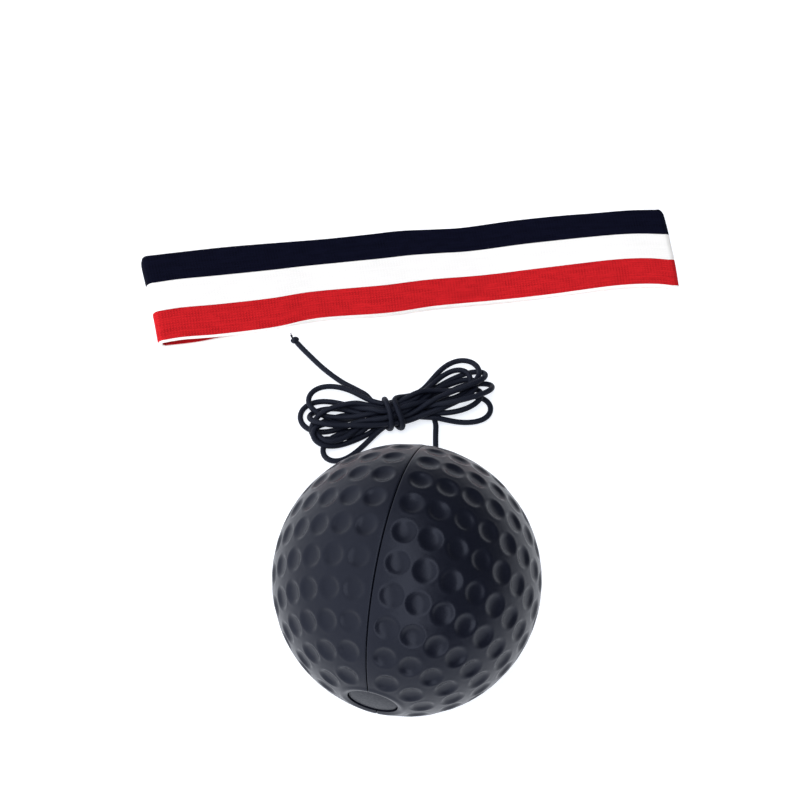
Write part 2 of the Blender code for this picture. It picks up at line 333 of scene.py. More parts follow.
def tape_material(name, colour, shade):
    """Woven elastic: ribs run along U, short stitches cross them. U and V are in metres.

    colour is the tape's own, shade the one between its threads.
    """
    s = Shader(name)
    u, v = s.uv()
    rib = s.math("ABSOLUTE", s.math("SINE", s.times(v, pi / RIB_PITCH)))
    lean = s.times(s.math("PINGPONG", v, RIB_PITCH / 2), PICK_LEAN)
    pick = s.math("SINE", s.times(s.add(u, lean), 2 * pi / PICK_PITCH))
    patch = s.span(s.noise(s.uv_point(160.0, 420.0), 1.0, 3.0), 0.36, 0.62, 0.15, 1.0)
    pick = s.times(s.span(pick, -1.0, 1.0, 0.0, 1.0), patch)
    fluff = s.noise(s.uv_point(5200.0, 5200.0), 1.0, 2.0)
    streak = s.noise(s.uv_point(45.0, 1100.0), 1.0, 3.0)
    speck = s.noise(s.uv_point(1700.0, 1500.0), 1.0, 1.0)
    weave = s.math("MULTIPLY_ADD", pick, -0.60, s.times(rib, 0.25))
    tone = s.add(s.times(weave, 0.45), s.times(streak, 0.28))
    tone = s.add(tone, s.times(speck, 0.40))
    tinted = s.ramp(tone, (0.10, shade), (0.52, colour))
    roughness = s.span(fluff, 0.3, 0.7, 0.80, 0.94)
    height = s.add(s.times(weave, 0.8), s.times(fluff, 0.35))
    normal = s.bump(height, 0.35, 0.00010)
    return s.finish(tinted, roughness, normal, Specular_IOR_Level=0.04)


def cord_material():
    """A round braid: two families of strands cross in diamonds. U is metres, V one turn."""
    s = Shader("braided_cord")
    u, v = s.uv()
    turn = s.times(v, BRAID_STRANDS)
    lay = s.times(u, 1.0 / BRAID_PITCH)
    right = s.math("SINE", s.times(s.add(turn, lay), pi))
    left = s.math("SINE", s.times(s.math("SUBTRACT", turn, lay), pi))
    braid = s.times(s.math("ABSOLUTE", right), s.math("ABSOLUTE", left))
    fibre = s.noise(s.uv_point(9000.0, 14.0), 1.0, 2.0)
    wear = s.noise(s.uv_point(260.0, 2.0), 1.0, 3.0)
    tone = s.add(s.times(braid, 0.6), s.times(fibre, 0.25))
    tone = s.add(tone, s.times(wear, 0.25))
    colour = s.ramp(tone, (0.15, (0.0014, 0.0019, 0.0052)), (0.75, (0.0072, 0.0092, 0.0195)))
    roughness = s.span(wear, 0.3, 0.7, 0.5, 0.68)
    height = s.add(braid, s.times(fibre, 0.3))
    return s.finish(colour, roughness, s.bump(height, 0.6, 0.00012), Specular_IOR_Level=0.22,
                    Specular_Tint=(0.82, 0.88, 1.0, 1.0))


def ball_material():
    """Satin moulded skin: fine grain, slight mottling, dull scuffs."""
    s = Shader("ball_skin")
    place = s.place()
    grain = s.noise(place, 2600.0, 2.0)
    pores = s.noise(place, 700.0, 3.0, 0.6)
    cloud = s.noise(place, 45.0, 4.0)
    scuff = s.noise(place, 160.0, 5.0, 0.7)
    tone = s.add(s.times(cloud, 0.6), s.times(pores, 0.4))
    colour = s.ramp(tone, (0.30, (0.0046, 0.0056, 0.0104)), (0.70, (0.0072, 0.0082, 0.0142)))
    dull = s.math("MULTIPLY_ADD", scuff, 0.20, s.times(pores, 0.12))
    roughness = s.span(dull, 0.05, 0.30, 0.24, 0.42)
    fine = s.bump(grain, 0.10, 0.00008)
    normal = s.bump(pores, 0.10, 0.00025, fine)
    return s.finish(colour, roughness, normal, Specular_IOR_Level=0.20,
                    Specular_Tint=(0.80, 0.85, 1.0, 1.0))


def plug_material():
    """Moulded rubber, a little lighter and duller than the ball's skin."""
    s = Shader("plug_rubber")
    place = s.place()
    grain = s.noise(place, 1500.0, 3.0)
    cloud = s.noise(place, 150.0, 3.0)
    colour = s.ramp(cloud, (0.3, (0.012, 0.014, 0.020)), (0.7, (0.017, 0.019, 0.026)))
    roughness = s.span(grain, 0.3, 0.7, 0.42, 0.58)
    return s.finish(colour, roughness, s.bump(grain, 0.15, 0.0001), Specular_IOR_Level=0.2)


def washer_material():
    """Pale moulded plastic."""
    s = Shader("washer_plastic")
    place = s.place()
    grain = s.noise(place, 1800.0, 3.0)
    cloud = s.noise(place, 240.0, 2.0)
    colour = s.ramp(cloud, (0.3, (0.50, 0.50, 0.47)), (0.7, (0.60, 0.60, 0.57)))
    return s.finish(colour, s.span(grain, 0.3, 0.7, 0.35, 0.5), s.bump(grain, 0.12, 0.0001))


def thread_material():
    """Pale sewing thread, twisted 1400 times in a metre."""
    s = Shader("thread")
    u, v = s.uv()
    twist = s.math("SINE", s.times(s.add(s.times(u, 1400.0), v), 2 * pi))
    fuzz = s.noise(s.uv_point(6000.0, 6.0), 1.0, 2.0)
    colour = s.ramp(s.span(twist, -1.0, 1.0, 0.0, 1.0), (0.0, (0.62, 0.62, 0.60)),
                    (1.0, (0.86, 0.86, 0.84)))
    return s.finish(colour, s.span(fuzz, 0.3, 0.7, 0.55, 0.7), s.bump(twist, 0.4, 0.00005),
                    Sheen_Weight=0.2)


def floor_material():
    """A plain white floor, whose glow keeps it as bright as the backdrop."""
    s = Shader("floor")
    place = s.place()
    cloud = s.noise(place, 3.0, 2.0)
    colour = s.ramp(cloud, (0.3, (0.60, 0.60, 0.595)), (0.7, (0.63, 0.63, 0.625)))
    grain = s.noise(place, 60.0, 2.0)
    return s.finish(colour, 0.9, s.bump(grain, 0.05, 0.001), Specular_IOR_Level=0.1,
                    Emission_Color=(0.90, 0.935, 1.0, 1.0), Emission_Strength=FLOOR_GLOW)


# ---------------- studio

def put(data, place, ahead):
    """A camera or a light at its place, looking ahead."""
    obj = bpy.data.objects.new(data.name, data)
    SCENE.collection.objects.link(obj)
    obj.location = place
    obj.rotation_euler = ahead.to_track_quat("-Z", "Y").to_euler()
    return obj


def make_camera():
    data = bpy.data.cameras.new("camera")
    data.angle = CAMERA_FIELD
    data.clip_start, data.clip_end = 0.01, 20.0
    flat = cos(CAMERA_ELEVATION)
    ahead = Vector((-sin(CAMERA_AZIMUTH) * flat, cos(CAMERA_AZIMUTH) * flat,
                    -sin(CAMERA_ELEVATION)))
    SCENE.camera = put(data, LOOK_AT - CAMERA_DISTANCE * ahead, ahead)


def make_key():
    """A tall soft panel behind the camera that lights the scene and is not seen itself."""
    data = bpy.data.lights.new("key", "AREA")
    data.shape = "RECTANGLE"
    data.size, data.size_y = KEY_WIDTH, KEY_HEIGHT
    data.energy = KEY_RADIANCE * pi * KEY_WIDTH * KEY_HEIGHT
    data.color = KEY_TINT
    light = put(data, KEY_PLACE, Vector(KEY_TARGET) - Vector(KEY_PLACE))
    light.visible_camera = False


def make_world():
    """White to look at. As a light it is bright on the left and dark on the right."""
    s = Shader("studio", world=True)
    SCENE.world = s.owner
    right, _ = s.split(s.node("TexCoord", {}, "Generated"))
    strength = s.span(right, *WORLD_FADE, WORLD_LEFT, WORLD_RIGHT)
    light = s.node("Background", {"Color": WORLD_TINT, "Strength": strength})
    seen = s.node("Background", {"Color": (1.0, 1.0, 1.0, 1.0)})
    camera_ray = s.node("LightPath", {}, "Is Camera Ray")
    s.node("OutputWorld", {0: s.node("MixShader", {0: camera_ray, 1: light, 2: seen})})


def make_studio():
    corners = ((-1, -1), (1, -1), (1, 1), (-1, 1))
    vertices = [(x * FLOOR_HALF, y * FLOOR_HALF, -FLOOR_DROP) for x, y in corners]
    new_object("floor", vertices, [(0, 1, 2, 3)], floor_material(), smooth=False)
    make_world()
    make_key()
    SCENE.view_settings.view_transform = "Standard"


# ---------------- cord

# The hank is worked out in millimetres.
STRAND = CORD_DIAMETER / MM
WAIST = np.array((-15.3, 19.5))
HANK_TURN = radians(8)
HANK_LINE = np.array((cos(HANK_TURN), sin(HANK_TURN)))
HANK_SIDE = np.array((-sin(HANK_TURN), cos(HANK_TURN)))
SLOT_STEP = 1.88
SLOT_HEIGHTS = (2.95, 4.55, 6.15)
ROUTE_STEP = 1.8  # between the points of the cord while it settles

# Loops beyond the waist, from the first one wound to the last: degrees turned away from the
# hank's line, reach, half width, degrees rolled about the loop's own line, height of its end,
# how wide its legs already are near the waist, and how far its near leg sags out of line.
LEFT_LOOPS = (
    (-19.2, 29.0, 4.4, 0, 1.2, 0.5, 0.0),
    (-4.0, 30.0, 3.6, 20, 2.6, 0.95, 0.8),
    (-2.0, 28.8, 4.6, -20, 2.8, 0.85, 0.4),
    (4.0, 29.6, 5.0, 20, 3.4, 0.85, 0.0),
    (12.0, 29.8, 4.4, -15, 4.4, 0.65, 0.0),
    (14.0, 33.4, 6.2, 5, 3.0, 0.55, 0.0),
    (26.5, 31.0, 6.2, 5, 4.2, 0.75, 0.0),
)
RIGHT_LOOPS = (
    (-8.6, 36.0, 5.0, 0, 1.2, 0.55, 0.0),
    (4.6, 38.4, 3.4, -45, 4.0, 0.7, 4.2),
    (2.0, 34.0, 3.6, -20, 2.8, 0.7, 2.6),
    (12.6, 38.4, 3.4, -45, 4.2, 0.7, 1.2),
    (8.0, 33.0, 4.0, -30, 4.0, 0.55, 1.0),
    (14.4, 33.0, 4.8, 5, 3.6, 0.35, 0.0),
    (18.2, 37.0, 5.9, 0, 4.6, 0.05, 0.0),
)
# Where each leg passes on its way out: share of the reach, how far it still follows its place in
# the waist, and how far it has come from the waist's height to its loop's.
LEG_NEAR, LEG_FAR = (0.42, 0.35, 0.55), (0.68, 0.08, 0.85)
LEG_FAR_SPREAD = 0.95  # how wide the legs are at the far place

WRAP_HALF, WRAP_LOW, WRAP_HIGH = 5.3, 1.05, 8.1
WRAP_START, WRAP_OVER, WRAP_UNDER = 2.3, 0.5, -5.2  # along the waist, and each half turn's step
WRAP_ACROSS, WRAP_DRIFT = -1.0, 2.4
WRAP_SQUARENESS = 0.55
WRAP_STEPS = 12  # points of one turn

# How the cord settles, in each round
SETTLE_ROUNDS = 500
PULL_BACK = 0.004  # share of the way back to where it was drawn
SINK = 0.01
STRAIGHTEN = ((2, 0.06), (1, 0.15))  # places to the neighbours, and how strongly they pull
MEETING_REACH = 1.9  # strands within this many diameters of each other can meet
WAIST_SQUEEZE, SQUEEZE_REACH = 0.08, 7.0  # the wraps press the strands together

# The cord's knotted end, in metres again
KNOT_AHEAD, KNOT_HEIGHT = 0.0016, 0.0017  # its middle, beyond the tail's last point
KNOT_SIZE, KNOT_STRAND = 0.0027, 0.00068  # across it, and the radius of its tightened cord
CORE_RADIUS = 0.0009
FRAYED_THREADS = 9
THREAD_ROOT, THREAD_TIP = 0.00016, 0.00004


def waist_slots():
    """(across, height) of the 14 strands in the waist: two layers of five and one of four."""
    wide = [(c - 2) * SLOT_STEP for c in range(5)]
    return ([(c, SLOT_HEIGHTS[0]) for c in wide] + [(c, SLOT_HEIGHTS[1]) for c in wide[::-1]]
            + [((c - 1.5) * SLOT_STEP, SLOT_HEIGHTS[2]) for c in range(4)])


def at_waist(along, across, height):
    x, y = WAIST + HANK_LINE * along + HANK_SIDE * across
    return np.array((x, y, height))


def loop_route(side, loop, out, back):
    """One loop, from the waist at slot out and back to it at slot back. side is -1 or 1."""
    angle, reach, half, roll, height, spread, sag = loop
    angle, roll = radians(angle) * side, radians(roll)
    line = HANK_LINE * side
    ahead = np.array((line[0] * cos(angle) - line[1] * sin(angle),
                      line[0] * sin(angle) + line[1] * cos(angle)))
    across = np.array((-ahead[1], ahead[0])) * side

    def spot(along, sideways, base):
        x, y = WAIST + ahead * along + across * sideways * cos(roll)
        return np.array((x, y, max(STRAND / 2, base + sideways * sin(roll))))

    def leg(slot, place, wide, sign):
        share, follow, rise = place
        width = sign * half * wide + slot[0] * follow
        width -= sag if sign < 0 else 0
        return spot(reach * share, width, slot[1] * (1 - rise) + height * rise)

    sign = 1 if out[0] > back[0] else -1
    route = [at_waist(side * a, *out) for a in (0.0, 3.0, 5.0)]
    route += [leg(out, LEG_NEAR, spread, sign), leg(out, LEG_FAR, LEG_FAR_SPREAD, sign)]
    for k in range(1, 8):
        a = pi / 2 - pi * k / 8
        route.append(spot(reach - half + half * cos(a), sign * half * sin(a), height))
    route += [leg(back, LEG_FAR, LEG_FAR_SPREAD, -sign), leg(back, LEG_NEAR, spread, -sign)]
    return route + [at_waist(side * a, *back) for a in (5.0, 3.0)]


def wrap_route(turns):
    """The cord's end, wound round the waist from its far side over the top."""
    route, steps = [], WRAP_STEPS * turns
    for k in range(steps + 1):
        a = 2 * pi * turns * k / steps
        turn, part = divmod(k / WRAP_STEPS, 1)
        along = WRAP_START + turn * (WRAP_OVER + WRAP_UNDER)
        along += 2 * (WRAP_OVER * min(part, 0.5) + WRAP_UNDER * max(part - 0.5, 0))
        squared = [np.sign(v) * abs(v) ** WRAP_SQUARENESS for v in (cos(a), sin(a))]
        height = (WRAP_LOW + WRAP_HIGH) / 2 + (WRAP_HIGH - WRAP_LOW) / 2 * squared[1]
        across = WRAP_HALF * squared[0] + WRAP_ACROSS + WRAP_DRIFT * k / steps
        route.append(at_waist(along, across, height))
    return route


def cord_route():
    """The cord from the ball to its end before it settles, and which points stay where they are."""
    lead = evenly(smooth_curve(np.array([EXIT, *LEAD_ROUTE]) / MM, 10), ROUTE_STEP)
    tail = evenly(smooth_curve(np.array(TAIL_ROUTE) / MM, 10), ROUTE_STEP)
    slots = waist_slots()
    first = slots[0][0]
    route = [lead[-1], (0.3, 15.6, 1.1), (0.3, 17.2, 1.1), (-0.8, 18.6, 1.1), (-3.0, 18.9, 1.3),
             at_waist(8.0, first * 0.95, 2.2), at_waist(5.0, *slots[0])]
    for k in range(7):
        route += loop_route(-1, LEFT_LOOPS[k], slots[2 * k], slots[2 * k + 1])
        if k < 6:
            route += loop_route(1, RIGHT_LOOPS[k], slots[2 * k + 1], slots[2 * k + 2])
    route += loop_route(1, RIGHT_LOOPS[6], slots[13], (5.0, 5.0))[:-2]
    route += [at_waist(8.0, 2.0, 5.6), at_waist(4.6, 3.4, 5.6)]
    route += wrap_route(2)
    route += [at_waist(-6.7, 7.8, 4.2), at_waist(-7.3, 8.9, 3.6), tail[0]]
    middle = evenly(smooth_curve(route, 6), ROUTE_STEP)
    points = np.vstack([lead[:-1], middle, tail[1:]])
    held = np.zeros(len(points), bool)
    held[:len(lead)] = held[-len(tail):] = True
    return points, held


def pull_straight(points, free, reach, weight):
    """Moves each point towards the middle of its neighbours reach places away."""
    off = (points[:-2 * reach] + points[2 * reach:]) / 2 - points[reach:-reach]
    push = np.zeros_like(points)
    push[reach:-reach] += off * weight
    push[:-2 * reach] -= off * weight / 2
    push[2 * reach:] -= off * weight / 2
    points += push * free


def push_apart(points, free, first, second):
    """Moves strands that overlap until they are nearly a diameter apart."""
    gap = points[first] - points[second]
    distance = np.linalg.norm(gap, axis=1)
    along = (points[first, :2] - WAIST) @ HANK_LINE
    apart = STRAND * (1 - WAIST_SQUEEZE * np.exp(-(along / SQUEEZE_REACH) ** 2))
    near = distance < apart
    if not near.any():
        return
    a, b, distance = first[near], second[near], np.maximum(distance[near], 1e-6)
    push = gap[near] * ((apart[near] - distance) / distance * 0.45)[:, None]
    total = np.maximum(free[a] + free[b], 1e-9)
    moved, count = np.zeros_like(points), np.zeros(len(points))
    np.add.at(moved, a, push * free[a] / total)
    np.add.at(moved, b, -push * free[b] / total)
    np.add.at(count, a, 1)
    np.add.at(count, b, 1)
    points += moved / np.sqrt(np.maximum(count, 1))[:, None]


def keep_length(points, free, rest):
    """Brings every step of the cord back nearly to its length, odd and even steps in turn."""
    for start in (0, 1):
        a = np.arange(start, len(points) - 1, 2)
        step = points[a + 1] - points[a]
        distance = np.linalg.norm(step, axis=1)
        total = np.maximum(free[a] + free[a + 1], 1e-9)
        fix = step * ((distance - rest[a]) / distance * 0.9)[:, None]
        points[a] += fix * free[a] / total
        points[a + 1] -= fix * free[a + 1] / total


def settled(points, held):
    """Lets the cord sink, straighten and lie beside itself, with its length kept."""
    wanted = points.copy()
    points = points.copy()
    rest = np.linalg.norm(np.diff(points, axis=0), axis=1)
    free = (~held).astype(float)[:, None]
    one, two = np.triu_indices(len(points), 4)
    for step in range(SETTLE_ROUNDS):
        if step % 10 == 0:
            close = ((points[one] - points[two]) ** 2).sum(1) < (MEETING_REACH * STRAND) ** 2
            first, second = one[close], two[close]
        points += free * PULL_BACK * (wanted - points)
        points[:, 2] -= free[:, 0] * SINK
        for reach, weight in STRAIGHTEN:
            pull_straight(points, free, reach, weight)
        push_apart(points, free, first, second)
        keep_length(points, free, rest)
        points[:, 2] = np.where(held, points[:, 2], np.maximum(points[:, 2], STRAND / 2))
    return points


def trefoil(centre, size, normal, steps=72):
    """The line of an overhand knot, about size across outside its cord."""
    z = unit(normal)
    x = unit(np.cross(z, (0.3, 0.9, 0.2)))
    y = np.cross(z, x)
    t = np.linspace(0, 2 * pi, steps, endpoint=False)
    flat = np.stack([np.sin(t) + 2 * np.sin(2 * t), np.cos(t) - 2 * np.cos(2 * t),
                     -1.3 * np.sin(3 * t)], axis=1) * size / 8
    return np.asarray(centre) + flat @ np.array((x, y, z))


def ring_parts(path, radius, sides):
    """Vertices, faces and UVs of a tube whose ends meet."""
    path = np.asarray(path, float)
    tangents = np.roll(path, -1, 0) - np.roll(path, 1, 0)
    tangents /= np.linalg.norm(tangents, axis=1)[:, None]
    across = carried([*tangents, tangents[0]])
    up = np.cross(tangents[0], across[0])
    twist = atan2(across[-1] @ up, across[-1] @ across[0])
    places = np.arange(len(path))[:, None] / len(path)
    turns = np.arange(sides)[None, :] * 2 * pi / sides - twist * places
    vertices = ring_points(path, tangents, across[:-1], turns, radius)
    along = lengths(np.vstack([path, path[:1]]))
    return vertices, *wall(along, one_turn(sides), closed=True)


def end_knot(material):
    """The tight overhand knot on the cord's end and its frayed threads."""
    end = np.array(TAIL_ROUTE[-1])
    ahead = unit(end - np.array(TAIL_ROUTE[-2]))
    ahead[2] = 0.02
    ahead = unit(ahead)
    centre = end + ahead * KNOT_AHEAD
    centre[2] = KNOT_HEIGHT
    knot_line = trefoil(centre, KNOT_SIZE, ahead + np.array((0, 0, 0.5)))
    core_line = evenly(np.array([end - ahead * 0.0006, centre + ahead * 0.0010]), 0.0003)
    parts = [ring_parts(knot_line, KNOT_STRAND, 10), tube_parts(core_line, CORE_RADIUS, 12)]
    side = unit(np.cross(ahead, (0, 0, 1)))
    for _ in range(FRAYED_THREADS):
        lean = side * rng.uniform(0.1, 0.5) + np.array((0, 0, rng.uniform(-0.1, 0.25)))
        length = rng.uniform(0.0014, 0.0030)
        start = centre + ahead * 0.0008 + side * rng.uniform(-0.0003, 0.0003)
        path = [start + ahead * length * t + lean * length * t * t for t in np.linspace(0, 1, 8)]
        parts.append(tube_parts(path, np.linspace(THREAD_ROOT, THREAD_TIP, 8), 5))
    for vertices, _, _ in parts:
        for v in vertices:
            v[2] = max(v[2], 0.0)
    piece = joined("cord_end_knot_tied", parts, material)
    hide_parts("cord_end_knot")
    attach(piece, "cord")
    return piece


def make_cord(material):
    points = settled(*cord_route()) * MM
    path = evenly(smooth_curve(points, 4), CORD_STEP)
    for _ in range(3):
        path[1:-1] += 0.25 * (path[:-2] + path[2:] - 2 * path[1:-1])
    path = evenly(path, CORD_STEP)
    piece = tube("cord_braided", path, CORD_DIAMETER / 2, CORD_SIDES, material)
    knot = end_knot(material)
    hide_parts("cord_lead", "cord_hank", "cord_wrap_turn_1", "cord_wrap_turn_2",
                "cord_tail")
    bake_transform(piece)


# ---------------- ball

PARTING_GAP = 0.00012  # each half stands back from the parting plane
EDGE_ROUND = 0.00055
CHANNEL_RADIUS = 0.0013
EXIT_FUNNEL = 0.0006
RECESS_RADIUS = 0.0056
RECESS_TOP = -0.0255
PLUG_RADIUS = 0.0071
PLUG_SEAT = 0.00035  # clearance round the plug
PLUG_THICK = 0.0022
PLUG_SUNK = 0.0009
PLUG_RIM = 0.0003
PLUG_MIDDLE = 0.0004  # radius of the flat middle of its face and its stem's end
PLUG_STEM_RADIUS, PLUG_STEM_LONG = 0.0050, 0.0030
SEAT_GAP = 0.0003  # behind the plug
WASHER_RADIUS = 0.0050
WASHER_THICK = 0.0012
WASHER_GAP = 0.0003  # on either side of the washer
ANCHOR_KNOT_RADIUS = 0.0023
ANCHOR_KNOT_SIZE, ANCHOR_KNOT_STRAND = 0.0036, 0.00078
DIMPLE_FIRST = radians(20.7)  # polar angle of the first ring, from the cord's exit
DIMPLE_STEP = radians(12.6)
DIMPLE_RINGS = 12
DIMPLE_SPACING = radians(10.8)
SEAM_MARGIN = 0.7  # from the parting line to the first dimple, as a share of their spacing
DIMPLE_RADIUS = radians(4.75)
DIMPLE_DEPTH = 0.00088
SKIN_DROP = 0.00042  # how far the skin turns in at the exit and at the plug
EXIT_TURN, PLUG_TURN = 0.02, 0.026  # the angles over which it does
LIP_HEIGHT = 0.00022  # a low lip round the plug, at this angle from the skin's end
LIP_PLACE, LIP_WIDTH = 0.040, 0.016
SKIN_STEPS = 250
TURN_STEPS = 232

AXIS = np.array(CORD_OUT)
ACROSS = unit(np.array(PARTING_SIDE) - AXIS * (np.array(PARTING_SIDE) @ AXIS))
ALONG = np.cross(AXIS, ACROSS)
CENTRE = np.array(BALL_CENTRE)


def dimple_centres():
    """Directions of one half's dimples, in the frame (ALONG, ACROSS, AXIS)."""
    found = []
    for ring in range(DIMPLE_RINGS):
        polar = DIMPLE_FIRST + DIMPLE_STEP * ring
        count = round(pi * sin(polar) / DIMPLE_SPACING - 2 * SEAM_MARGIN + 1)
        for k in range(count):
            turn = (k + SEAM_MARGIN) * pi / (count - 1 + 2 * SEAM_MARGIN)
            found.append((sin(polar) * cos(turn), sin(polar) * sin(turn), cos(polar)))
    return np.array(found)


def smooth_step(x):
    x = np.clip(x, 0, 1)
    return x * x * (3 - 2 * x)


def dimple_depth(directions):
    """How far the skin is pressed in at each direction: a bowl with a low lip round it."""
    centres = dimple_centres()
    depth = np.zeros(len(directions))
    for start in range(0, len(directions), 4000):
        part = directions[start:start + 4000]
        angle = np.arccos(np.clip((part @ centres.T).max(axis=1), -1, 1))
        x = angle / DIMPLE_RADIUS  # 0 in the middle of a dimple, 1 at its edge
        bowl = np.clip(1 - x ** 2, 0, None) * 0.72 + 0.28 * smooth_step((1.0 - x) / 0.45)
        lip = 0.05 * np.exp(-((x - 1.1) / 0.13) ** 2)
        depth[start:start + 4000] = bowl * smooth_step((1.06 - x) / 0.12) - lip
    return depth * DIMPLE_DEPTH


def half_section():
    """Polar angles of the skin, from the cord's exit to the plug, and (radius, height) inside."""
    seat = PLUG_RADIUS + PLUG_SEAT
    floor = -BALL_RADIUS + PLUG_SUNK + PLUG_THICK + SEAT_GAP
    first = (CHANNEL_RADIUS + EXIT_FUNNEL) / BALL_RADIUS
    last = pi - seat / BALL_RADIUS
    top = BALL_RADIUS
    inside = [(seat, floor), (RECESS_RADIUS, floor), (RECESS_RADIUS, RECESS_TOP),
              (CHANNEL_RADIUS, RECESS_TOP), (CHANNEL_RADIUS, 0.0),
              (CHANNEL_RADIUS, top - 0.0020), (CHANNEL_RADIUS + 0.00012, top - 0.0009),
              (CHANNEL_RADIUS + 0.0003, top - 0.0004)]
    return np.linspace(first, last, SKIN_STEPS), np.array(inside)


def rounded_edge(distance):
    """How far the skin turns in at this distance from the parting plane."""
    x = np.clip(distance / EDGE_ROUND, 0, 1)
    return EDGE_ROUND * (1 - np.sqrt(1 - (1 - x) ** 2)) * 0.8


def ball_half(name, node, sign, material):
    """One half: its section swept half a turn about the cord's line. sign is its side."""
    polar, inside = half_section()
    fine = np.array([0.0, 0.12, 0.3, 0.55, 0.9, 1.4])  # degrees, closer at the parting plane
    rest = np.linspace(2.0, 178.0, TURN_STEPS)
    turns = np.radians(np.r_[fine, rest, 180 - fine[::-1]])

    def swept(radius, height):
        """Points (along, across, on the axis) of a section, turned by each of the turns."""
        return np.stack([np.outer(np.cos(turns), radius), np.outer(np.sin(turns), radius),
                         np.broadcast_to(height, (len(turns), len(height)))], axis=2)

    directions = swept(np.sin(polar), np.cos(polar))
    to_end = polar[-1] - polar
    rim = smooth_step((polar - polar[0]) / EXIT_TURN) * smooth_step(to_end / PLUG_TURN)
    inward = dimple_depth(directions.reshape(-1, 3)).reshape(len(turns), -1)
    inward += SKIN_DROP * (1 - rim)[None, :]
    inward -= LIP_HEIGHT * np.exp(-((to_end - LIP_PLACE) / LIP_WIDTH) ** 2)[None, :]
    inward += rounded_edge(directions[:, :, 1] * BALL_RADIUS)
    outer = directions * (BALL_RADIUS - inward)[:, :, None]
    inner = swept(*inside.T)
    grid = np.concatenate([outer, inner], axis=1)
    grid[:, :, 1] = np.maximum(grid[:, :, 1], PARTING_GAP)
    world = CENTRE + grid.reshape(-1, 3) @ np.array((ALONG, sign * ACROSS, AXIS))
    width = grid.shape[1]
    last = (len(turns) - 1) * width
    faces = net(len(turns), width)
    faces += [tuple(range(width)), tuple(range(last + width - 1, last - 1, -1))]
    if sign < 0:
        faces = [face[::-1] for face in faces]
    piece = new_object(name, world, faces, material)
    face_outward(piece, 50)
    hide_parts(node)
    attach(piece, "ball")


def lathe(name, section, material, base, axis, steps=64, closed=False):
    """A solid of revolution about axis through base. section is (radius, height).

    A closed section makes a ring, an open one gets flat ends.
    """
    z = unit(axis)
    x = unit(np.cross(z, (0.2, 0.3, 0.9)))
    y = np.cross(z, x)
    vertices = []
    n = len(section)
    for k in range(steps):
        a = 2 * pi * k / steps
        out = x * cos(a) + y * sin(a)
        vertices += [np.array(base) + out * r + z * h for r, h in section]
    faces = net(steps, n, round_rows=True, round_columns=closed)
    if not closed:
        faces.append(tuple(k * n for k in range(steps))[::-1])
        faces.append(tuple(k * n + n - 1 for k in range(steps)))
    piece = new_object(name, vertices, faces, material)
    face_outward(piece, 40)
    return piece


def make_plug(material):
    """A smooth disc with a soft rim, whose face follows the ball a little below its skin."""
    face = BALL_RADIUS - PLUG_SUNK
    section = [(PLUG_MIDDLE, -face + 0.00002)]
    for share in np.linspace(0.1, 1.0, 14):
        r = (PLUG_RADIUS - PLUG_RIM) * share
        section.append((r, -sqrt(face ** 2 - r ** 2)))
    start = section[-1][1]
    for a in np.radians(np.linspace(20, 90, 5)):
        section.append((PLUG_RADIUS - PLUG_RIM + PLUG_RIM * sin(a),
                        start + PLUG_RIM * (1 - cos(a))))
    back = -face + PLUG_THICK
    stem_end = back + PLUG_STEM_LONG
    section += [(PLUG_RADIUS, back - PLUG_RIM), (PLUG_RADIUS - PLUG_RIM, back),
                (PLUG_STEM_RADIUS, back), (PLUG_STEM_RADIUS, stem_end - 0.0004),
                (PLUG_STEM_RADIUS - 0.0004, stem_end), (PLUG_MIDDLE, stem_end)]
    piece = lathe("ball_plug_moulded", section, material, CENTRE, AXIS, 72)
    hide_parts("ball_plug")
    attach(piece, "ball")


def make_anchor(cord, washer_plastic):
    """What holds the cord in the ball: it passes a washer and ends in a knot."""
    low = RECESS_TOP - WASHER_GAP - WASHER_THICK
    high = low + WASHER_THICK
    edge = 0.0002
    ring = [(WASHER_RADIUS, low + edge), (WASHER_RADIUS - edge, low),
            (CHANNEL_RADIUS + edge, low), (CHANNEL_RADIUS, low + edge),
            (CHANNEL_RADIUS, high - edge), (CHANNEL_RADIUS + edge, high),
            (WASHER_RADIUS - edge, high), (WASHER_RADIUS, high - edge)]
    washer = lathe("anchor_washer_moulded", ring, washer_plastic, CENTRE, AXIS, 48, closed=True)
    inside = evenly(np.array([CENTRE + AXIS * low, CENTRE + AXIS * BALL_RADIUS]), 0.002)
    strand = tube("cord_in_ball_braided", inside, CORD_DIAMETER / 2, CORD_SIDES, cord)
    middle = CENTRE + AXIS * (low - WASHER_GAP - ANCHOR_KNOT_RADIUS)
    core_line = evenly(np.array([middle + AXIS * 0.0021, middle]), 0.0003)
    knot = joined("anchor_knot_tied",
                  [ring_parts(trefoil(middle, ANCHOR_KNOT_SIZE, AXIS), ANCHOR_KNOT_STRAND, 12),
                   tube_parts(core_line, CORE_RADIUS, 12)], cord)
    for piece, node, slot in ((washer, "anchor_washer", "washer_plastic"),
                              (strand, "cord_in_ball", "braided_cord"),
                              (knot, "anchor_knot", "braided_cord")):
        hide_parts(node)
        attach(piece, "anchor")


def make_ball(cord):
    skin = ball_material()
    ball_half("ball_half_right_dimpled", "ball_half_right", 1, skin)
    ball_half("ball_half_left_dimpled", "ball_half_left", -1, skin)
    make_plug(plug_material())
    make_anchor(cord, washer_material())


# ---------------- headband

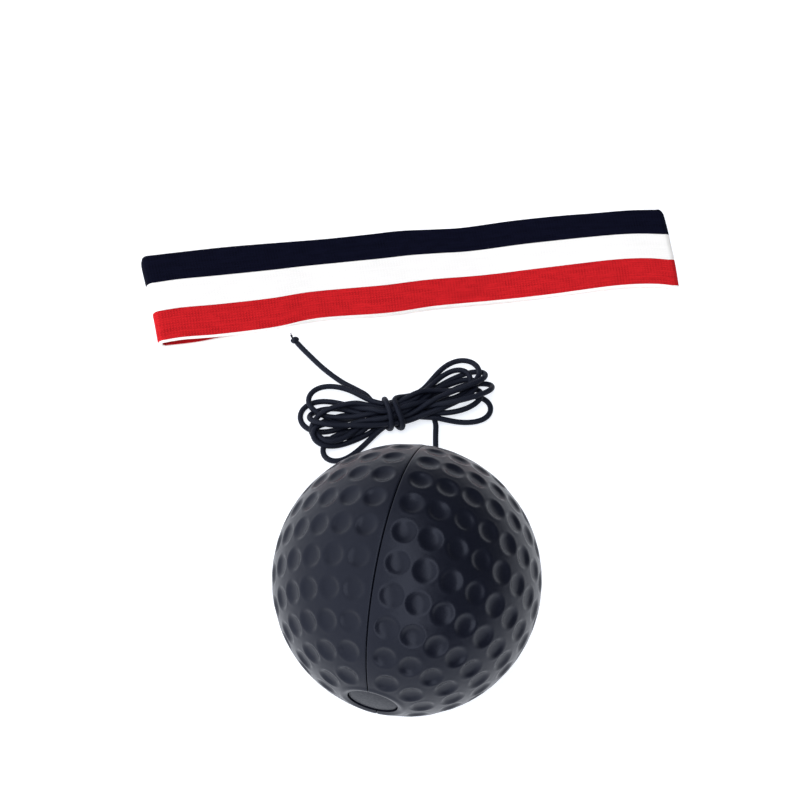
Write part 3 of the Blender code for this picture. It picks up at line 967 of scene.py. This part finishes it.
TAPE_WIDTH = 38.0  # mm; this section works in millimetres
TAPE_THICK = 1.6
SELVEDGE = (65, 40, 14, -14, -40, -65)  # degrees round the tape's edge, outer face first
SELVEDGE_BULGE = 0.55
SELVEDGE_V = 0.00025  # between its points in the weave, in metres
CROWN = 0.35  # how much higher the upper ply's middle is than its edges
RIPPLE = 0.16
FOLD_REACH = 0.95  # of half the height between the plies
FOLD_POWER = 0.92  # a fold bulges as a sine to this power, and a lower one is squarer
LEFT_SQUARER = 0.42  # how much lower it gets towards the left fold's far edge
INNER_V = 0.1  # what sets the inner face's weave apart from the outer one's
RIBS = 36
RIB_STEPS = 4  # points across one rib
RIB_HEIGHT = 0.03
STRIPE_RIBS = (("red", 0, 12), ("white", 12, 24), ("navy", 24, 36))  # ribs of each colour
LOWER_MIDDLE = TAPE_THICK / 2 + 0.12
OVERLAP_LOW, OVERLAP_TOP = 1.80, 2.85  # the second end, pressed flat by its seam
OVERLAP_HALF = 6.0
OVERLAP_TAPER = 0.15
STITCH_ROWS = (-3.3, 3.3)
STITCH_PITCH = 1.8
STITCH_SWING = 1.3
STITCH_MARGIN = 1.5
STITCH_DIP, STITCH_ARCH = -0.35, 0.12  # heights of its corners and legs over the tape

# The upper ply's two edges along the band: (x, y, height of its middle layer).
NEAR_EDGE = (
    (-101, 57.6, 6.2), (-90, 59.2, 5.6), (-75, 59.4, 4.9), (-55, 60.5, 4.3), (-38, 62.8, 4.0),
    (-12, 61.6, 4.6), (6, 62.4, 4.9), (30, 61.9, 5.4), (50, 61.8, 6.0), (75, 62.4, 6.6),
    (90, 61.4, 6.6), (101, 59.0, 6.0),
)
FAR_EDGE = (
    (-105, 95.9, 8.6), (-88, 96.7, 8.2), (-70, 97.5, 7.6), (-50, 97.8, 6.8), (-32, 98.0, 6.1),
    (-15, 98.6, 5.6), (-3, 99.1, 5.3), (12, 98.3, 5.1), (22, 98.0, 5.0), (42, 99.2, 4.8),
    (60, 99.6, 4.6), (74, 99.3, 4.6), (89, 98.9, 4.8), (103, 97.4, 5.0),
)
# The lower ply's edges: (x, near y, far y). The upper one hides them except at the left end.
LOWER_EDGES = (
    (-105, 59.4, 97.0), (-90, 59.3, 97.2), (-82, 59.7, 97.6), (-74, 60.9, 98.2),
    (-62, 62.1, 98.8), (-38, 64.4, 100.2), (-12, 63.6, 100.6), (6, 64.4, 100.6),
    (30, 64.2, 100.4), (50, 64.7, 100.8), (75, 65.6, 101.2), (90, 64.8, 100.8),
    (103, 62.2, 98.6),
)
# Where the folds end, from the near edge to the far one: (share across, x).
LEFT_FOLD = ((0.0, -98.5), (0.3, -100.0), (0.7, -102.6), (0.93, -104.1), (1.0, -103.9))
RIGHT_FOLD = ((0.0, 100.0), (0.3, 101.2), (0.7, 102.2), (0.88, 102.5), (0.96, 102.5), (1.0, 101.8))


def through(points, column, at):
    """A smooth line through a column of the points, whose first column is where they are."""
    table = np.array(points, float)
    fine = smooth_curve(np.stack([table[:, 0], table[:, column], 0 * table[:, 0]], axis=1), 8)
    return np.interp(at, fine[:, 0], fine[:, 1])


def lower_edge(x, share):
    """Where the lower ply is across the band."""
    near, far = through(LOWER_EDGES, 1, x), through(LOWER_EDGES, 2, x)
    return near + share * (far - near)


def tape_middle(share, flat_steps=112, fold_steps=24):
    """The middle layer of the loop at one place across the tape, 0 at the near selvedge."""
    left = through(LEFT_FOLD, 1, share) + TAPE_THICK / 2
    right = through(RIGHT_FOLD, 1, share) - TAPE_THICK / 2

    def upper(x):
        z = (1 - share) * through(NEAR_EDGE, 2, x) + share * through(FAR_EDGE, 2, x)
        y = (1 - share) * through(NEAR_EDGE, 1, x) + share * through(FAR_EDGE, 1, x)
        ripple = RIPPLE * np.sin(x / 7.3 + 1.5 * share) * np.sin(x / 19.0) * np.sin(pi * share)
        return y, z + ripple + CROWN * np.sin(pi * share)

    def lower(x):
        return lower_edge(x, share), LOWER_MIDDLE + 0 * x

    half = [(float(upper(np.array(x))[1]) - LOWER_MIDDLE) / 2 for x in (left + 4, right - 4)]
    start, end = left + half[0] * FOLD_REACH, right - half[1] * FOLD_REACH
    x = np.linspace(start, end, flat_steps)
    below = np.stack([x, *lower(x)], axis=1)
    above = np.stack([x, *upper(x)], axis=1)[::-1]
    angles = np.linspace(0, pi, fold_steps + 2)[1:-1]

    def fold(centre, first, last, reach, power):
        turn = (1 - np.cos(angles)) / 2
        y = first[1] + (last[1] - first[1]) * turn
        z = first[2] + (last[2] - first[2]) * turn
        return np.stack([centre + reach * np.sin(angles) ** power, y, z], axis=1)

    left_power = FOLD_POWER - LEFT_SQUARER * share
    return np.vstack([below, fold(end, below[-1], above[0], right - end, FOLD_POWER),
                      above, fold(start, above[-1], below[0], left - start, left_power)])


def tape_grid():
    """Points of the loop's middle layer and its outward normals: (round the loop, across)."""
    shares = np.linspace(0, 1, RIBS * RIB_STEPS + 1)
    grid = np.stack([tape_middle(s) for s in shares], axis=1)
    along = np.roll(grid, -1, axis=0) - np.roll(grid, 1, axis=0)
    across = np.gradient(grid, axis=1)
    normals = np.cross(along, across)
    normals /= np.linalg.norm(normals, axis=2)[:, :, None]
    if normals[30, 10, 2] > 0:  # a point of the lower ply, which faces down
        normals = -normals
    return grid, normals


def make_stripe(name, first, last, grid, normals, materials):
    """One colour of the tape: a closed strip round the loop, ribbed on both faces.

    Its selvedges, where it has them, get the second material.
    """
    columns = np.arange(first * RIB_STEPS, last * RIB_STEPS + 1)
    half = TAPE_THICK / 2 + RIB_HEIGHT * (np.abs(np.sin(columns * pi / RIB_STEPS)) - 0.6)
    at = grid[:, columns]
    out = normals[:, columns] * half[None, :, None]
    sides = np.gradient(grid, axis=1)
    sides /= np.linalg.norm(sides, axis=2)[:, :, None]

    def selvedge(column, sign):
        """The rounded edge, from the outer face to the inner one."""
        rows = [grid[:, column] + normals[:, column] * TAPE_THICK / 2 * sin(a)
                + sign * sides[:, column] * SELVEDGE_BULGE * cos(a) for a in np.radians(SELVEDGE)]
        return np.stack(rows, axis=1)

    v = columns * (TAPE_WIDTH / RIBS / RIB_STEPS) * MM
    edge_v = np.arange(1, len(SELVEDGE) + 1) * SELVEDGE_V
    parts = [(at + out, v, 0)]  # points, their V, and 1 where they are on a selvedge
    if last == RIBS:
        parts.append((selvedge(columns[-1], 1), v[-1] + edge_v, 1))
    parts.append(((at - out)[:, ::-1], v[::-1] + INNER_V, 0))
    if first == 0:
        parts.append((selvedge(columns[0], -1)[:, ::-1], v[0] + INNER_V - edge_v, 1))
    ring = np.concatenate([points for points, _, _ in parts], axis=1)
    ring_v = np.concatenate([part_v for _, part_v, _ in parts])
    on_edge = [edge for _, part_v, edge in parts for _ in part_v]
    middle = at[:, len(columns) // 2]
    steps = np.linalg.norm(np.roll(middle, -1, 0) - middle, axis=1)
    u = np.r_[0, np.cumsum(steps)] * MM
    next_v = [v1 if abs(v1 - v0) < 0.01 else v0 + 0.0002
              for v0, v1 in zip(ring_v, np.roll(ring_v, -1))]
    faces, uvs = wall(u, list(zip(ring_v, next_v)), closed=True)
    slots = [max(ends) for ends in zip(on_edge, on_edge[1:] + on_edge[:1])] * len(grid)
    piece = new_object(name, ring.reshape(-1, 3) * MM, faces, materials, uvs)
    piece.data.polygons.foreach_set("material_index", slots)
    face_outward(piece)
    return piece


def make_overlap(tapes):
    """The tape's other end, laid over the first one inside the loop."""
    columns = RIBS * RIB_STEPS
    places = np.linspace(-OVERLAP_HALF, OVERLAP_HALF, 15)
    shares = np.linspace(0.008, 0.992, columns + 1)
    rib = RIB_HEIGHT * (np.abs(np.sin(np.arange(columns + 1) * pi / RIB_STEPS)) - 0.6)
    vertices = []
    for x in places:
        y = lower_edge(np.array(x), shares)
        taper = OVERLAP_TAPER * smooth_step((5.0 - abs(x)) / 1.0)
        top = OVERLAP_TOP - OVERLAP_TAPER + taper + rib
        section = zip(np.r_[y, y[::-1]], np.r_[top, (OVERLAP_LOW - rib)[::-1]])
        vertices += [(x, *point) for point in section]
    round_it = 2 * (columns + 1)
    last = len(vertices) - round_it
    end = [(j, j + 1, round_it - 2 - j, round_it - 1 - j) for j in range(columns)]
    faces = net(len(places), round_it) + end
    faces += [tuple(last + index for index in face[::-1]) for face in end]
    uvs, slots = [], []
    for face in faces:
        column = [min(index % round_it, round_it - 1 - index % round_it) for index in face]
        slots.append(3 * min(column) // columns if min(column) < max(column) else 1)
        for index, own in zip(face, column):
            along = places[index // round_it] + OVERLAP_HALF
            uvs.append((along * MM, shares[own] * TAPE_WIDTH * MM))
    piece = new_object("seam_overlap_woven", np.array(vertices) * MM, faces,
                       [tapes["red"], tapes["white"], tapes["navy"]], uvs)
    piece.data.polygons.foreach_set("material_index", slots)
    face_outward(piece, 40)
    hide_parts("seam_overlap")
    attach(piece, "headband")


def make_stitches(thread):
    """Two zigzag rows that sew the tape's ends together. Each stitch dips into the tape."""
    count = round((TAPE_WIDTH - 2 * STITCH_MARGIN) / STITCH_PITCH)
    lean = 0.11 * STITCH_PITCH / TAPE_WIDTH
    for number, row in enumerate(STITCH_ROWS, start=1):
        points = []
        for k in range(count + 1):
            share = (STITCH_MARGIN + k * STITCH_PITCH) / TAPE_WIDTH
            side = STITCH_SWING if k % 2 else -STITCH_SWING
            leg = row + side * 0.78
            points += [(leg, share - lean, STITCH_ARCH), (row + side, share, STITCH_DIP),
                       (leg, share + lean, STITCH_ARCH)]
        route = [(x, float(lower_edge(np.array(x), share)), OVERLAP_TOP + z)
                 for x, share, z in points[1:-1]]
        path = evenly(smooth_curve(route, 6) * MM, 0.00012)
        piece = tube(f"seam_zigzag_{number}", path, 0.0002, 8, thread)
        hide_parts(f"seam_stitch_row_{number}")
        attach(piece, "headband")


def make_band():
    grid, normals = tape_grid()
    tapes = {"red": tape_material("red_tape", (0.690, 0.0170, 0.0215), (0.370, 0.0080, 0.0110)),
             "white": tape_material("white_tape", (0.99, 0.962, 0.905), (0.925, 0.898, 0.84)),
             "navy": tape_material("navy_tape", (0.0042, 0.0049, 0.0152),
                                   (0.0010, 0.0012, 0.0052))}
    for colour, first, last in STRIPE_RIBS:
        piece = make_stripe(colour + "_tape", first, last, grid, normals,
                            [tapes[colour], tapes["white"]])
        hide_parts(colour + "_stripe_lower", colour + "_stripe_upper")
        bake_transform(piece)
    make_overlap(tapes)
    make_stitches(thread_material())


# ---------------- main

def main():
    cord = cord_material()
    make_camera()
    make_studio()
    make_cord(cord)
    make_ball(cord)
    make_band()


main()
